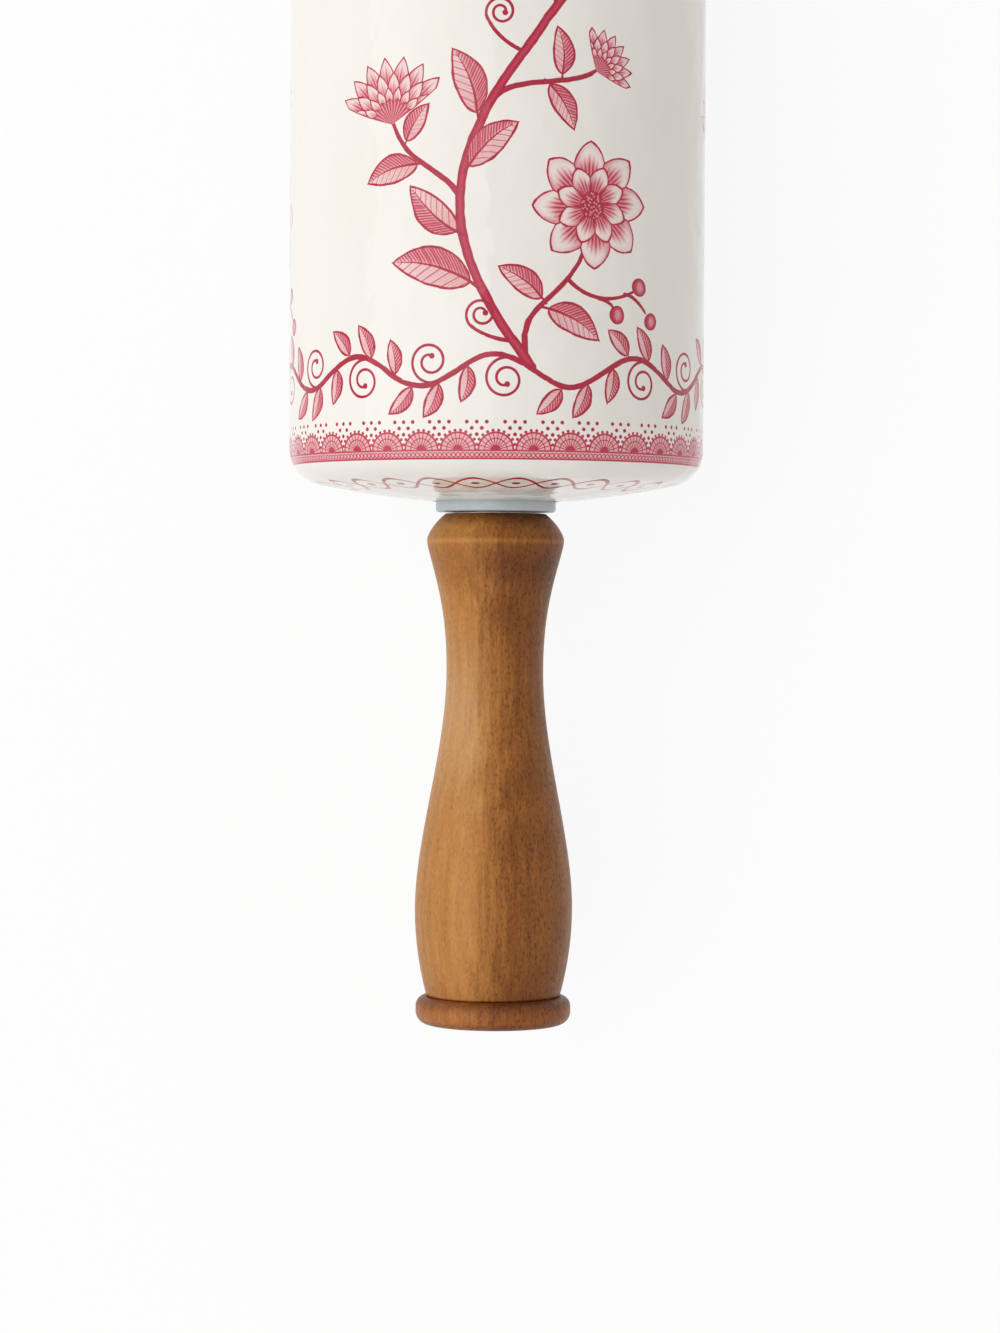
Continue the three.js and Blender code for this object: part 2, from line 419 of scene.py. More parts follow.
def barrelProfile():
    size = barrel
    centreX = barrelEnd - math.sqrt(size["crownRadius"] ** 2 - size["seatRadius"] ** 2)

    def crownedEnd(radius, corner, sideRadius, innerRadius, counts):
        rimX = centreX + math.sqrt((radius - corner) ** 2 - (sideRadius - corner) ** 2)
        meet = math.degrees(math.asin((sideRadius - corner) / (radius - corner)))
        start = math.degrees(math.asin(innerRadius / radius))
        crown = arcRun((centreX, 0), radius, start, meet, counts[0])
        return crown + arcRun((rimX, sideRadius - corner), corner, meet, 90, counts[1])[1:]

    outer = crownedEnd(
        size["crownRadius"],
        size["shoulderRadius"],
        barrelRadius,
        size["seatRadius"],
        size["outerSteps"],
    )
    inner = crownedEnd(
        size["crownRadius"] - size["wall"],
        size["cavityCorner"],
        barrelRadius - size["wall"],
        size["holeRadius"],
        size["innerSteps"],
    )
    seat = barrelEnd - size["seatDepth"]
    half = inner[::-1] + [(seat, size["holeRadius"]), (seat, size["seatRadius"])] + outer
    return half + [(-x, r) for x, r in half[::-1]]


def unrolled(mesh):  # every face corner as (mm round, mm along), and each face's middle
    places = np.empty(len(mesh.vertices) * 3)
    mesh.vertices.foreach_get("co", places)
    places = places.reshape(-1, 3)
    vertexOf = np.empty(len(mesh.loops), np.int32)
    mesh.loops.foreach_get("vertex_index", vertexOf)
    sides = np.empty(len(mesh.polygons), np.int32)
    mesh.polygons.foreach_get("loop_total", sides)
    faceOf = np.repeat(np.arange(len(sides)), sides)
    corners = places[vertexOf]
    starts = np.concatenate(([0], np.cumsum(sides)[:-1]))
    middles = np.add.reduceat(corners, starts) / sides[:, None]
    faceTurn = np.arctan2(middles[:, 1], middles[:, 2] - axisHeight)
    turn = np.arctan2(corners[:, 1], corners[:, 2] - axisHeight)
    turn += math.tau * np.round((faceTurn[faceOf] - turn) / math.tau)
    radius = np.hypot(corners[:, 1], corners[:, 2] - axisHeight) / mm
    cornerAt = np.column_stack((turn * barrelRadius, corners[:, 0] / mm))
    faceAt = np.column_stack((faceTurn * barrelRadius, middles[:, 0] / mm))
    return cornerAt, faceAt, faceOf, radius


def nearestRound(gap):  # the short way round the barrel
    gap[..., 0] -= around * np.round(gap[..., 0] / around)
    return gap


def writeField(mesh, name, *columns):  # up to four numbers at every face corner
    values = np.ones((len(mesh.loops), 4), np.float32)
    for index, column in enumerate(columns):
        values[:, index] = column
    field = mesh.attributes.new(name, "FLOAT_COLOR", "CORNER")
    field.data.foreach_set("color", values.ravel())


# The print is laid out on the unrolled barrel, in mm: a round it, t along it. A heading is in
# degrees from +t towards +a. Vines grow along the barrel in lanes, swaying from side to side.

vine = {
    "lanes": 3,
    "units": 4,  # bends in a lane
    "turn": -7.0,  # mm that the whole print is turned by
    "halfWave": 56.0,
    "sway": 13.0,
    "stemHalf": (0.7, 0.45),
    "twigHalf": (0.42, 0.26),
    "sprigHalf": (0.26, 0.17),
    "sample": 0.3,
    "tries": 9,  # samples looked at, each way from a face's nearest one
    "bare": 2.6,  # mm from a stroke where the glaze has none of its ink
    "stalk": 0.12,  # of a leaf's length
    "into": 0.9,  # mm that a tendril runs on into its curl
}
border = {
    "middle": 110.6,  # from the barrel's middle
    "waves": 9,
    "sway": 2.5,
    "stemHalf": (0.36, 0.36),
    "curlBefore": 3.0,  # mm before a crest
    "curl": 3.5,
    "leaves": ((-8.0, 12, 5.6), (-3.4, 26, 5.8), (1.0, 46, 5.6)),  # mm past the crest, heading, length
    "clear": 2.4,  # mm kept free beside the vines' stems
    "gap": 1.0,  # and beside their leaves and flowers
}
leafShape = {
    "width": 0.68,
    "base": 0.7,
    "tip": 0.9,
    "past": 0.6,  # how fast the gap to the outline grows, past the foot and the tip
    "slope": 0.85,  # turns a gap across the leaf into one square to its outline
}
rosetteKind, fanKind, berryKind, curlKind = 0, 1, 2, 3
fanSpread = 1.08  # radians each side
closing = 12  # samples by which the ends of a closed run overlap
stems, waves, twigs, sprigs, leaves, blooms = [], [], [], [], [], []


def ahead(heading, distance=1.0):
    turn = math.radians(heading)
    return np.array((math.sin(turn), math.cos(turn))) * distance


def sweepRun(start, heading, length, turning):  # a stroke that bends evenly
    points = [np.array(start, float)]
    steps = max(int(length / vine["sample"]), 2)
    for step in range(steps):
        heading += turning / steps
        points.append(points[-1] + ahead(heading, vine["sample"]))
    return points, heading


def swayAt(t):
    return vine["sway"] * math.cos(math.pi * t / vine["halfWave"])


def unitAt(unit):
    return (unit - (vine["units"] - 1) / 2) * vine["halfWave"]


def stemAcross(t):  # of the first lane
    return vine["turn"] + swayAt(t - unitAt(0))


def addCurl(at, heading, size, hand):  # a spiral that goes on from a stroke's end
    blooms.append((at + ahead(heading + 90 * hand, size), heading - 90 * hand, size, curlKind * hand))


def growUnit(lane, shift, mirror, last):  # one bend of a vine: a rosette in its hollow, a fan outside it
    def place(points):
        moved = np.array(points, float).reshape(-1, 2) * (mirror, 1)
        return moved + (vine["turn"] + lane * around / vine["lanes"], shift)

    def twig(points):
        twigs.append((place(curveRun(points, 70)), vine["twigHalf"]))

    def stalk(layer, points):
        layer.append((place(curveRun(points, 50)), vine["sprigHalf"]))

    def tendril(start, heading, length, turning, size, hand):
        run, facing = sweepRun(start, heading, length, turning)
        addCurl(place(run[-1])[0], facing * mirror, size, hand * mirror)
        into = sweepRun(run[-1], facing, vine["into"], hand * math.degrees(vine["into"] / size))[0]
        sprigs.append((place(run + into[1:]), vine["sprigHalf"]))

    def leaf(base, heading, length, bend):
        foot = place(base + ahead(heading, vine["stalk"] * length))[0]
        leaves.append((foot, heading * mirror, length, bend * mirror))

    def bloom(middle, heading, radius, kind):
        blooms.append((place(middle)[0], heading * mirror, radius, kind))

    def stemAt(t):
        return (swayAt(t), t)

    twig([stemAt(-25), (4.6, -16), (-3, -17), (-7.5, -7)])
    bloom((-8.8, 0), 12, 10.2, rosetteKind)
    leaf((-0.2, -16.2), -118, 10.0, 0.07)
    leaf((-1.2, -15.6), 55, 8.5, -0.06)
    stalk(sprigs, [(-4.5, -11.9), (-8, -15.5), (-13, -15.5), (-17.2, -13.2)])
    stalk(twigs, [(-9.9, -14.7), (-11.8, -15.0), (-13.0, -16.4)])
    stalk(twigs, [(-15.3, -14.0), (-17.8, -14.4), (-19.9, -17.0)])
    for berry in ((-18.0, -12.6), (-13.5, -17.3), (-20.7, -18.0)):
        bloom(berry, 0, 1.4, berryKind)
    tendril(stemAt(-22), 88, 7.0, -30, 2.6, -1)
    leaf(stemAt(-13), 76, 13.5, -0.08)
    leaf(stemAt(-5.5), 47, 10.8, 0.07)
    leaf(stemAt(5), -48, 10.5, 0.07)
    twig([stemAt(1), (16.5, 6), (22.5, 6.5), (24.5, 13.2)])
    bloom((24.6, 12.8), 8, 10.8, fanKind)
    leaf((19.0, 6.6), 106, 9.5, -0.07)
    leaf((22.5, 9.4), -34, 6.8, 0.06)
    leaf(stemAt(13), 22, 11.0, -0.07)
    if last:  # room for the border
        return
    twig([stemAt(15), (6, 21), (-4, 18), (-9.5, 21.5)])
    bloom((-9.3, 21.4), -50, 6.8, fanKind)
    leaf((-1.0, 19.7), -150, 8.0, 0.07)
    leaf((-3.6, 19.7), 6, 7.5, -0.07)
    tendril(stemAt(24), 70, 8.0, -40, 2.5, -1)


def growVines():
    reach = border["middle"]
    for lane in range(vine["lanes"]):
        shift = lane * around / vine["lanes"]
        run = [(stemAcross(t) + shift, t) for t in np.arange(-reach, reach, vine["sample"])]
        stems.append((np.array(run), vine["stemHalf"]))
        for unit in range(vine["units"]):
            growUnit(lane, unitAt(unit), 1 - 2 * (unit % 2), unit == vine["units"] - 1)


def room(points, motifs, gapOf):  # mm from the points to the nearest outline
    return min(gapOf(*seenFrom(motif, points), *motif[2:]).min() for motif in motifs)


def growBorder(end, vineLeaves, vineBlooms):  # a running wave with a curl in every hollow
    pitch = around / border["waves"]
    phase = stemAcross(end * border["middle"]) - (pitch / 2 if end < 0 else 0)

    def onWave(a):
        swing = border["sway"] * math.sin(math.tau * (a - phase) / pitch)
        return np.array((a, end * (border["middle"] + swing)))

    def crowded(points):
        return min(room(points, vineLeaves, leafGap), room(points, vineBlooms, bloomGap)) < border["gap"]

    lap = np.arange(-closing, round(around / vine["sample"]) + closing) * vine["sample"]
    waves.append((np.array([onWave(a) for a in lap]), border["stemHalf"]))
    vines = np.concatenate([run for run, half in stems + sprigs])
    for index in range(2 * border["waves"]):
        side = end * (1 - 2 * (index % 2))  # which way the crest points
        crest = phase + (index + 0.5) * pitch / 2
        start, after = (onWave(crest - border["curlBefore"] + step) for step in (0, 0.1))
        heading = math.degrees(math.atan2(*(after - start)))
        middle = start + ahead(heading + 90 * side, border["curl"])
        rim = np.array([middle + ahead(turn, border["curl"]) for turn in range(0, 360, 20)])
        if not crowded(rim):
            addCurl(start, heading, border["curl"], side)
        for offset, heading, length in border["leaves"]:
            turned = heading if side > 0 else 180 - heading
            foot = onWave(crest + offset) + ahead(turned, vine["stalk"] * length)
            beside = nearestRound(vines - foot - ahead(turned, length / 2))
            midline = np.array([foot + ahead(turned, length * share) for share in (0.2, 0.5, 0.8, 1)])
            if np.hypot(*beside.T).min() > border["clear"] and not crowded(midline):
                leaves.append((foot, turned, length, -0.06 * side))


def strokeField(mesh, name, strokes, spare, cornerAt, faceAt, faceOf):  # mm across a stroke, half width
    at = np.concatenate([run for run, half in strokes])
    tangent = np.concatenate([np.gradient(run, axis=0) for run, half in strokes])
    tangent /= np.linalg.norm(tangent, axis=1)[:, None]
    counts = [len(run) for run, half in strokes]
    first = np.repeat(np.cumsum([0] + counts[:-1]), counts)
    last = np.repeat(np.cumsum(counts) - 1, counts)
    half = np.concatenate([np.linspace(*half, len(run)) for run, half in strokes])

    def rolledUp(points):  # onto the cylinder, so that the way round closes
        turn = points[:, 0] / barrelRadius
        return np.column_stack((points[:, 1], np.sin(turn) * barrelRadius, np.cos(turn) * barrelRadius))

    tree = kdtree.KDTree(len(at))
    for index, point in enumerate(rolledUp(at)):
        if first[index] + spare <= index <= last[index] - spare:
            tree.insert(point, index)
    tree.balance()
    nearest = np.array([tree.find(point)[1] for point in rolledUp(faceAt)])[faceOf]
    steps = np.arange(-vine["tries"], vine["tries"] + 1)
    tries = np.clip(nearest[:, None] + steps, first[nearest][:, None], last[nearest][:, None])
    gaps = nearestRound(cornerAt[:, None, :] - at[tries])
    pick = np.argmin((gaps ** 2).sum(2), axis=1)
    rows = np.arange(len(pick))
    chosen, gap = tries[rows, pick], gaps[rows, pick]
    along = (gap * tangent[chosen]).sum(1)
    across = gap[:, 0] * tangent[chosen][:, 1] - gap[:, 1] * tangent[chosen][:, 0]
    width = half[chosen] - np.maximum(np.abs(along) - vine["sample"], 0)
    width[np.hypot(across, along) > vine["bare"]] = -1
    writeField(mesh, name, across, width)


def seenFrom(motif, points):  # along and across the way that a motif points
    forward = ahead(motif[1])
    gap = nearestRound(points - motif[0])
    return gap @ forward, gap @ np.array((forward[1], -forward[0]))


def leafGap(along, across, size, bend):  # mm outside a leaf's outline, as its ink draws it
    u = along / size
    onLeaf = np.clip(u, 0, 1)
    half = leafShape["width"] * onLeaf ** leafShape["base"] * (1 - onLeaf) ** leafShape["tip"]
    beyond = np.abs(u - onLeaf) * leafShape["past"]
    return (np.abs(across / size - bend * 4 * u * (1 - u)) - half + beyond) * size


def bloomGap(along, across, size, kind):
    reach = np.hypot(along, across)
    if kind == fanKind:
        aside = np.abs(np.arctan2(across, along)) - fanSpread - 0.15
        return np.maximum(reach - size, np.clip(aside, -1, 1) * reach)
    return reach - size


def motifField(mesh, name, motifs, gapOf, cornerAt, faceAt, faceOf):  # each face has its nearest motif
    best = np.full(len(faceAt), np.inf)
    owner = np.zeros(len(faceAt), int)
    for index, motif in enumerate(motifs):
        distance = gapOf(*seenFrom(motif, faceAt), *motif[2:])
        closer = distance < best
        best[closer], owner[closer] = distance[closer], index
    mine = owner[faceOf]
    bases, headings, sizes, traits = (np.array(column, float)[mine] for column in zip(*motifs))
    gap = nearestRound(cornerAt - bases)
    sine, cosine = np.sin(np.radians(headings)), np.cos(np.radians(headings))
    along = gap[:, 0] * sine + gap[:, 1] * cosine
    across = gap[:, 0] * cosine - gap[:, 1] * sine
    writeField(mesh, name, along, across, sizes, traits)


strokeLayers = {"sprigField": sprigs, "twigField": twigs, "stemField": stems, "waveField": waves}


def printBarrel(piece):
    growVines()
    vineLeaves, vineBlooms = list(leaves), list(blooms)
    for end in (-1, 1):
        growBorder(end, vineLeaves, vineBlooms)
    mesh = piece.data
    places = unrolled(mesh)[:3]
    for name, strokes in strokeLayers.items():
        strokeField(mesh, name, strokes, closing if strokes is waves else 0, *places)
    motifField(mesh, "leafField", leaves, leafGap, *places)
    motifField(mesh, "bloomField", blooms, bloomGap, *places)
    print("print laid out:", len(twigs), "twigs,", len(leaves), "leaves,", len(blooms), "blooms")


glaze = {
    "inks": [
        (0.0, (0.86, 0.85, 0.815)),
        (0.1, (0.84, 0.66, 0.65)),
        (0.3, (0.72, 0.29, 0.325)),
        (0.55, (0.54, 0.05, 0.11)),
        (0.8, (0.48, 0.014, 0.055)),
        (1.0, (0.33, 0.006, 0.028)),
    ],
    "tints": [(0.3, (0.985, 0.98, 0.965)), (0.7, (1, 1, 1))],
    "shake": 0.55,  # mm that a drawn line wavers, from side to side
    "pen": (0.05, 0.2),  # mm, the thinnest outline and what the hand's pressure adds
    "fade": 0.07,  # mm each side, where the edge of a line runs out
    "grain": (0.75, 0.5),  # share of the ink that takes everywhere, and what the grain adds
    "side": (33.5, 34.0),  # mm from the axis, where the printed outside starts
    "crown": (125.5, 126.0),  # mm from the barrel's middle, the same on its ends
    "roughness": 0.065,
    "ripple": 0.035,
    "ior": 1.43,
}


strokeLook = {
    "line": 0.92,  # ink of a stroke
    "middle": 0.28,  # how much paler a thick one is along its middle
    "thick": (0.3, 0.6),  # mm, half widths where that starts and where it is full
}


def strokeInk(base, name, shake, pen):
    field = base.make("Attribute", {"attribute_name": name}, None, "Vector")
    across, half = field.parts()[:2]
    if name != "sprigField":  # sprigs meet their curls exactly
        across = across + shake
    cover = (abs(across) - half - pen * 0.5).inside(glaze["fade"])
    hollow = (abs(across) / half.most(0.05)).rise(0.8, 0.1) * half.rise(*strokeLook["thick"])
    return cover, strokeLook["line"] - hollow * strokeLook["middle"]


leafLook = {
    "fade": 0.06,  # mm each side of its edge
    "slant": 0.95,  # of the veins and the hatching, towards the tip
    "veins": 8,  # on each side
    "veinsFrom": (4.5, 8.0),  # mm, lengths of leaf where they start and where they are full
    "hatch": 1.7,  # lines to a mm
    "wash": 0.1,
    "shade": (0.14, 0.34),  # what the shaded side adds to the wash and to the hatching
    "foot": 0.12,  # what the foot adds to the wash
    "hatchInk": 0.06,
    "veinInk": 0.62,
    "rib": (0.02, 0.24),  # half width, as a share of the length and at most in mm
}


def leafInk(base, shake, pen):
    look = leafLook
    field = base.make("Attribute", {"attribute_name": "leafField"}, None, "Vector")
    along, across, length = field.parts()
    bend = field.out("Alpha")
    u = (along + shake) / length
    onLeaf = u.clamped()
    mid = (across + shake) / length - bend * 4 * u * (1 - u)
    side = abs(mid)
    half = onLeaf ** leafShape["base"] * (1 - onLeaf) ** leafShape["tip"] * leafShape["width"]
    gap = (side - half + abs(u - onLeaf) * leafShape["past"]) * length * leafShape["slope"]
    body = gap.inside(look["fade"])
    shadeSide = (mid * bend.sign()).rise(-0.03, 0.07)
    slant = u - side * look["slant"]
    hatch = (slant * length * look["hatch"]).fold(0.5).rise(0.36, 0.12)
    veins = (slant * look["veins"]).fold(0.5).rise(0.12, 0.02) * length.rise(*look["veinsFrom"])
    wash = look["wash"] + shadeSide * look["shade"][0] + (1 - onLeaf) * look["foot"]
    wash = wash + hatch * (shadeSide * look["shade"][1] + look["hatchInk"])
    ink = wash.most(veins * look["veinInk"])
    ribHalf = (length * look["rib"][0]).least(look["rib"][1]) * (1.1 - u)
    rib = (abs(mid * length) - ribHalf).inside(look["fade"]) * u.rise(-0.17, -0.13) * u.rise(0.98, 0.9)
    outline = (abs(gap) - pen).inside(glaze["fade"])
    ink = rib.most(outline).mixed(ink, strokeLook["line"])
    return body.most(outline).most(rib), ink


petalLook = {
    "slope": 0.8,  # turns a gap along the petal into one square to its edge
    "fade": 0.05,  # mm each side of that edge
    "wash": 0.03,
    "deep": 0.32,  # what the wash gains towards the flower's middle
    "side": 0.26,  # on one side of each petal
    "hatch": 0.42,
    "rim": 0.1,
    "seam": 0.1,  # mm, half width of the line between two petals
    "line": 0.9,
}


def petalRing(radius, turn, size, count, ring, pen):
    look = petalLook
    fold = turn - turn.rounded()
    side = abs(fold)
    edge = (1 - side * ring["taper"] - side * side * ring["dip"]) * ring["reach"]
    gap = (radius - edge) * size * look["slope"]
    seam = (0.5 - side) * radius * size * (math.tau / count)
    body = gap.inside(look["fade"])
    depth = radius / edge
    hatch = (turn * ring["hatch"]).fold(0.5).rise(0.36, 0.1)
    deep = depth.rise(ring["deep"][1], ring["deep"][0])
    wash = look["wash"] + deep * look["deep"] + fold.rise(0.1, 0.5) * look["side"]
    wash = wash + hatch * deep * look["hatch"] + depth.rise(0.84, 1.0) * look["rim"]
    outline = (abs(gap) - pen).inside(glaze["fade"])
    ink = outline.most(seam.stroke(look["seam"])).mixed(wash, look["line"])
    return body.most(outline), ink


rosette = {
    "petals": 8,
    "eye": 0.215,
    "seeds": 1.75,  # to a mm, in the eye
    "lean": (0.22, 0.3),  # of the outer and the inner petals, as shares of a petal
    "outer": {"reach": 1.0, "taper": 0.36, "dip": 0.5, "hatch": 7, "deep": (0.52, 0.88)},
    "inner": {"reach": 0.62, "taper": 0.3, "dip": 0.6, "hatch": 5, "deep": (0.42, 0.9)},
}


def rosetteInk(base, radius, turn, size, flat, pen):
    count, eye = rosette["petals"], rosette["eye"]
    outerLean, innerLean = rosette["lean"]
    petals = turn * (count / math.tau)
    cover, ink = petalRing(radius, petals + radius * outerLean, size, count, rosette["outer"], pen)
    innerTurn = petals + 0.5 + radius * innerLean
    innerCover, innerInk = petalRing(radius, innerTurn, size, count, rosette["inner"], pen)
    ink = innerCover.mixed(ink, innerInk)
    inputs = {"Vector": flat, "Scale": rosette["seeds"]}
    seeds = base.make("TexVoronoi", {"voronoi_dimensions": "2D"}, inputs)
    eyeInk = seeds.rise(0.36, 0.24).mixed(0.85, 0.3).most((radius - eye).stroke(0.012, 0.012))
    return cover, radius.rise(eye + 0.01, eye - 0.01).mixed(ink, eyeInk)


fan = {
    "lobes": 19,  # of which the spread shows about a third
    "line": 0.14,  # mm, half width of its sides and of the cup's rim
    "cup": (0.4, 0.16),  # reach of the cup that holds the petals, and depth of its teeth
    "teeth": 2.6,  # to a radian
    "cupHatch": 5.5,
    "cupInk": (0.3, 0.5),  # its wash, and what the hatching adds
    "outer": {"reach": 1.0, "taper": 0.42, "dip": 0.1, "hatch": 5, "deep": (0.62, 0.98)},
    "middle": {"reach": 0.78, "taper": 0.34, "dip": 0.3, "hatch": 5, "deep": (0.5, 0.98)},
    "inner": {"reach": 0.56, "taper": 0.34, "dip": 0.3, "hatch": 5, "deep": (0.5, 0.98)},
}


def fanInk(radius, turn, size, pen):
    lobes = fan["lobes"]
    petals = turn * (lobes / math.tau)
    cover, ink = petalRing(radius, petals, size, lobes, fan["outer"], pen)
    for row, shift in (("middle", 0.5), ("inner", 0.0)):
        nextCover, nextInk = petalRing(radius, petals + shift, size, lobes, fan[row], pen)
        ink = nextCover.mixed(ink, nextInk)
    spread = (abs(turn) - fanSpread - (1 - radius) * 0.12) * radius * size
    ink = spread.stroke(fan["line"]).mixed(ink, petalLook["line"])
    (reach, depth), (wash, hatched) = fan["cup"], fan["cupInk"]
    cup = radius - reach + (turn * fan["teeth"]).fold(0.5) * depth
    cupInk = wash + (turn * fan["cupHatch"]).fold(0.5).rise(0.36, 0.1) * hatched
    cupInk = (cup * size).stroke(fan["line"]).mixed(cupInk, strokeLook["line"])
    return cover * spread.inside(petalLook["fade"]), cup.inside(0.01).mixed(ink, cupInk)


berryLook = {"rim": 0.35, "wash": 0.3, "side": 0.2, "half": 0.13, "line": 0.95}


def berryInk(radius, across, size):
    gap = (radius - 1) * size
    look = berryLook
    ink = radius.rise(0.25, 1.0) * look["rim"] + look["wash"] + across.rise(0.0, 0.7) * look["side"]
    return gap.rise(0.1, 0.0), gap.stroke(look["half"]).mixed(ink, look["line"])


curlShape = {"turns": 1.62, "loss": 0.74, "half": 0.15, "ball": 0.45, "fade": 0.06, "line": 0.9}


def curlInk(along, across, size, hand, pen):  # a spiral that ends in a ball
    shape = curlShape
    radius = along.span(across) / size
    tight = shape["loss"] / shape["turns"]
    across = across * hand
    lap = (across.angle(along) / math.tau).fraction()
    whole = ((1 - radius) / tight - lap).rounded().most(0.0).least(math.floor(shape["turns"]))
    turned = lap + whole
    gap = abs(radius - 1 + turned * tight) * size
    line = (gap - shape["half"] - pen * 0.4).inside(shape["fade"])
    line = line * turned.rise(shape["turns"] + 0.01, shape["turns"])
    tip, inner = math.tau * shape["turns"], 1 - shape["loss"]
    ball = (along / size - inner * math.cos(tip)).span(across / size - inner * math.sin(tip)) * size
    return line.most((ball - shape["ball"]).inside(shape["fade"])), shape["line"]


def bloomInk(base, shake, pen):
    field = base.make("Attribute", {"attribute_name": "bloomField"}, None, "Vector")
    along, across, size = field.parts()
    trait = field.out("Alpha")
    kind = abs(trait)
    flat = base.make("CombineXYZ", None, {0: along + shake, 1: across + shake})
    radius = base.make("VectorMath", {"operation": "LENGTH"}, {0: flat}, "Value") / size
    turn = across.angle(along)
    drawings = {
        fanKind: fanInk(radius, turn, size, pen),
        berryKind: berryInk(radius, across, size),
        curlKind: curlInk(along, across, size, trait.sign(), pen),
    }
    cover, ink = rosetteInk(base, radius, turn, size, flat, pen)
    cover = cover * (kind - rosetteKind).stroke(0.5)
    for number, (nextCover, nextInk) in drawings.items():
        mine = (kind - number).stroke(0.5)
        cover, ink = cover.most(nextCover * mine), mine.mixed(ink, nextInk)
    return cover, ink


lace = {
    "count": 36,
    "foot": 124.85,  # mm from the barrel's middle
    "band": 1.5,
    "shell": 2.8,
    "spokes": 11,
    "beads": 8,
    "dot": 0.3,
    "dotsAt": ((0.0, 4.0), (0.8, 5.0), (0.0, 6.0), (1.6, 6.0)),  # mm beside the gap of two shells, mm up
    "top": 8.0,
    "fade": 0.05,
    "inks": (0.72, 0.22, 0.9),  # of its lines, of the ground between them and of the dots
}


def laceInk(a, t):  # a beaded band, shells standing on it, dots between the shells
    pitch = around / lace["count"]
    up = lace["foot"] - abs(t)  # mm above the foot of the lace
    band, shell, fade = lace["band"], lace["shell"], lace["fade"]
    lineInk, groundInk, dotInk = lace["inks"]
    across = a.wrapped(pitch / 2)
    rails = (up - 0.18).stroke(0.14, fade).most((up - band + 0.1).stroke(0.1, fade))
    bead = a.wrapped(pitch / lace["beads"] / 2).span(up - band / 2)
    beads = (bead - 0.33).stroke(0.08, fade)
    high = up - band
    reach = across.span(high)
    turn = high.angle(across) * (lace["spokes"] / math.pi)
    rings = (reach - shell).stroke(0.15, fade).most((reach - shell * 0.66).stroke(0.09, fade))
    petal = turn.wrapped(0.5) * (math.pi / lace["spokes"])
    spokes = (petal * reach).stroke(0.08, fade) * reach.rise(shell, shell - 0.1) * reach.rise(0.7, 0.8)
    picots = (petal * (shell + 0.36)).span(reach - shell - 0.36).rise(0.3, 0.2)
    upper = high.rise(-0.04, 0.04)
    shells = rings.most(spokes).most(reach.rise(0.9, 0.75)).most(picots) * upper
    ground = reach.rise(shell + 0.05, shell - 0.05) * upper
    ground = ground.most(up.rise(0.1, 0.2) * up.rise(band, band - 0.1))
    drawn = (rails.most(beads).most(shells) * lineInk).most(ground * groundInk)
    aside = pitch / 2 - abs(across)
    for beside, level in lace["dotsAt"]:
        dot = ((aside - beside).span(up - level) - lace["dot"]).inside(fade)
        drawn = drawn.most(dot * dotInk)
    return drawn * up.rise(0.0, 0.05) * up.rise(lace["top"], lace["top"] - 0.5)


crownRing = {"radius": 27.2, "swing": 3.3, "count": 26, "half": 0.46, "dot": 0.7, "from": 125.0}


def crownInk(a, t, radius):  # two crossing waves with a dot in every loop
    turn = a * (crownRing["count"] / barrelRadius)
    band = radius - crownRing["radius"]
    wave = (turn / 2).sine() * crownRing["swing"]
    chain = (abs(band) - abs(wave)).stroke(crownRing["half"], 0.12)
    arc = math.tau / crownRing["count"] * crownRing["radius"]
    dot = ((turn / math.tau + 0.5).wrapped(0.5) * arc).span(band)
    dots = dot.rise(crownRing["dot"] + 0.1, crownRing["dot"] - 0.1)
    return chain.most(dots) * 0.95 * abs(t).rise(crownRing["from"], crownRing["from"] + 0.2)


def glazeMaterial():
    material, base, at = startMaterial("printedGlaze")
    x, y, z = at.parts()
    a = y.angle(z) * barrelRadius
    radius = y.span(z)
    shake = (at.noise(0.22, 2.0) - 0.5) * glaze["shake"]
    pen = at.noise(0.7, 1.0) * glaze["pen"][1] + glaze["pen"][0]
    ink = laceInk(a, x).most(crownInk(a, x, radius))
    for name in strokeLayers:
        cover, drawn = strokeInk(base, name, shake, pen)
        ink = cover.mixed(ink, drawn)
    for drawMotif in (leafInk, bloomInk):
        cover, drawn = drawMotif(base, shake, pen)
        ink = cover.mixed(ink, drawn)
    outside = radius.rise(*glaze["side"]).most(abs(x).rise(*glaze["crown"]))
    grain = at.noise(2.6, 3.0, 0.6)
    ink = ink * (grain * glaze["grain"][1] + glaze["grain"][0]) * outside
    colour = base.make("ValToRGB", {"stops": glaze["inks"]}, {0: ink.clamped()})
    tint = base.make("ValToRGB", {"stops": glaze["tints"]}, {0: at.noise(0.05, 2.0)})
    multiply = {"data_type": "RGBA", "blend_type": "MULTIPLY"}
    colour = base.make("Mix", multiply, {0: 1.0, 6: colour, 7: tint}, 2)
    ripple = at.noise(0.12, 1.5)
    bump = base.make("Bump", None, {"Strength": glaze["ripple"], "Distance": 1.0, "Height": ripple})
    rough = at.noise(0.5, 2.0) * 0.05 + glaze["roughness"]
    endMaterial(base, {"Base Color": colour, "Roughness": rough, "IOR": glaze["ior"], "Normal": bump})
    return material


bakeStrips = {"round": (0.002, 0.998), "outside": (0.005, 0.87), "inside": (0.885, 0.995), "endFrom": 124}


